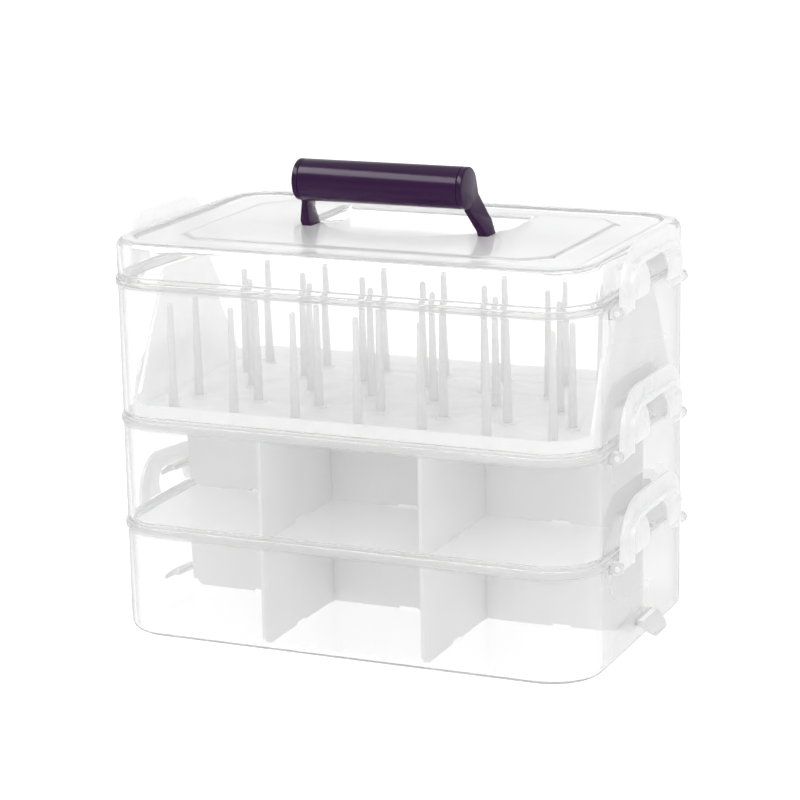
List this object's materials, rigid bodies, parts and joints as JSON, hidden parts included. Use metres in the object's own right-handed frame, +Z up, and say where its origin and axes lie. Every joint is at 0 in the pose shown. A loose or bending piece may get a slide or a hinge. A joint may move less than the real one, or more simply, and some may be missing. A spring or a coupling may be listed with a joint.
{
  "type": "thread storage box",
  "caption": "Clear stacking thread box: divided boxes under a spool box with a pin tray, end latches and a lid with a folding carry handle.",
  "frame": {"origin": "centre of the bottom box's underside", "axes": "+X to the right along the long side, -Y is the front, +Z up"},
  "size_m": [0.251, 0.15, 0.2163],
  "materials": {
    "clear_plastic": "clear polished polypropylene",
    "handle_plastic": "glossy dark aubergine",
    "latch_plastic": "milky translucent, smooth",
    "divider_plastic": "frosted sheet, fine satin",
    "tray_plastic": "milky translucent, smooth",
    "pin_plastic": "milky translucent, smooth"
  },
  "bodies": {
    "bottom": {"bottom_box": "clear_plastic"},
    "bottom_dividers": {"bottom_long_divider": "divider_plastic", "bottom_cross_divider_left": "divider_plastic", "bottom_cross_divider_right": "divider_plastic"},
    "middle": {"middle_box": "clear_plastic"},
    "middle_dividers": {"middle_long_divider": "divider_plastic", "middle_cross_divider_left": "divider_plastic", "middle_cross_divider_right": "divider_plastic"},
    "top": {"top_box": "clear_plastic"},
    "tray": {"spool_tray": "tray_plastic", "spool_pins_row_1": "pin_plastic", "spool_pins_row_2": "pin_plastic", "spool_pins_row_3": "pin_plastic", "spool_pins_row_4": "pin_plastic", "spool_pins_row_5": "pin_plastic"},
    "lid": {"lid": "clear_plastic"},
    "handle": {"handle_grip": "handle_plastic", "handle_left_arm": "handle_plastic", "handle_right_arm": "handle_plastic"},
    "latch_bottom_left": {"latch_bottom_left": "latch_plastic"},
    "latch_bottom_right": {"latch_bottom_right": "latch_plastic"},
    "latch_middle_left": {"latch_middle_left": "latch_plastic"},
    "latch_middle_right": {"latch_middle_right": "latch_plastic"},
    "latch_top_left": {"latch_top_left": "latch_plastic"},
    "latch_top_right": {"latch_top_right": "latch_plastic"}
  },
  "joints": [
    {"name": "middle_lift", "type": "slide", "parent": "bottom", "child": "middle", "axis": [0, 0, 1], "range_m": [0, 0.027]},
    {"name": "top_lift", "type": "slide", "parent": "middle", "child": "top", "axis": [0, 0, 1], "range_m": [0, 0.027]},
    {"name": "lid_lift", "type": "slide", "parent": "top", "child": "lid", "axis": [0, 0, 1], "range_m": [0, 0.027]},
    {"name": "handle_fold", "type": "hinge", "parent": "lid", "child": "handle", "pos_m": [0, 0.0005, 0.1788], "axis": [-1, 0, 0], "range_deg": [0, 105]},
    {"name": "bottom_divider_lift", "type": "slide", "parent": "bottom", "child": "bottom_dividers", "axis": [0, 0, 1], "range_m": [0, 0.0135]},
    {"name": "middle_divider_lift", "type": "slide", "parent": "middle", "child": "middle_dividers", "axis": [0, 0, 1], "range_m": [0, 0.0135]},
    {"name": "tray_lift", "type": "slide", "parent": "top", "child": "tray", "axis": [0, 0, 1], "range_m": [0, 0.0135]},
    {"name": "latch_bottom_left_hinge", "type": "hinge", "parent": "bottom", "child": "latch_bottom_left", "pos_m": [-0.1199, 0, 0.047], "axis": [0, -1, 0], "range_deg": [0, 110]},
    {"name": "latch_bottom_right_hinge", "type": "hinge", "parent": "bottom", "child": "latch_bottom_right", "pos_m": [0.1199, 0, 0.047], "axis": [0, 1, 0], "range_deg": [0, 110]},
    {"name": "latch_middle_left_hinge", "type": "hinge", "parent": "middle", "child": "latch_middle_left", "pos_m": [-0.1199, 0, 0.097], "axis": [0, -1, 0], "range_deg": [0, 110]},
    {"name": "latch_middle_right_hinge", "type": "hinge", "parent": "middle", "child": "latch_middle_right", "pos_m": [0.1199, 0, 0.097], "axis": [0, 1, 0], "range_deg": [0, 110]},
    {"name": "latch_top_left_hinge", "type": "hinge", "parent": "top", "child": "latch_top_left", "pos_m": [-0.1199, 0, 0.161], "axis": [0, -1, 0], "range_deg": [0, 110]},
    {"name": "latch_top_right_hinge", "type": "hinge", "parent": "top", "child": "latch_top_right", "pos_m": [0.1199, 0, 0.161], "axis": [0, 1, 0], "range_deg": [0, 110]}
  ],
  "couplings": [
    {"joint": "bottom_divider_lift", "follows": "middle_lift", "ratio": 0.5},
    {"joint": "middle_divider_lift", "follows": "top_lift", "ratio": 0.5},
    {"joint": "tray_lift", "follows": "lid_lift", "ratio": 0.5},
    {"joint": "latch_bottom_left_hinge", "follows": "middle_lift", "rad_per_m": 71},
    {"joint": "latch_bottom_right_hinge", "follows": "middle_lift", "rad_per_m": 71},
    {"joint": "latch_middle_left_hinge", "follows": "top_lift", "rad_per_m": 71},
    {"joint": "latch_middle_right_hinge", "follows": "top_lift", "rad_per_m": 71},
    {"joint": "latch_top_left_hinge", "follows": "lid_lift", "rad_per_m": 71},
    {"joint": "latch_top_right_hinge", "follows": "lid_lift", "rad_per_m": 71}
  ]
}
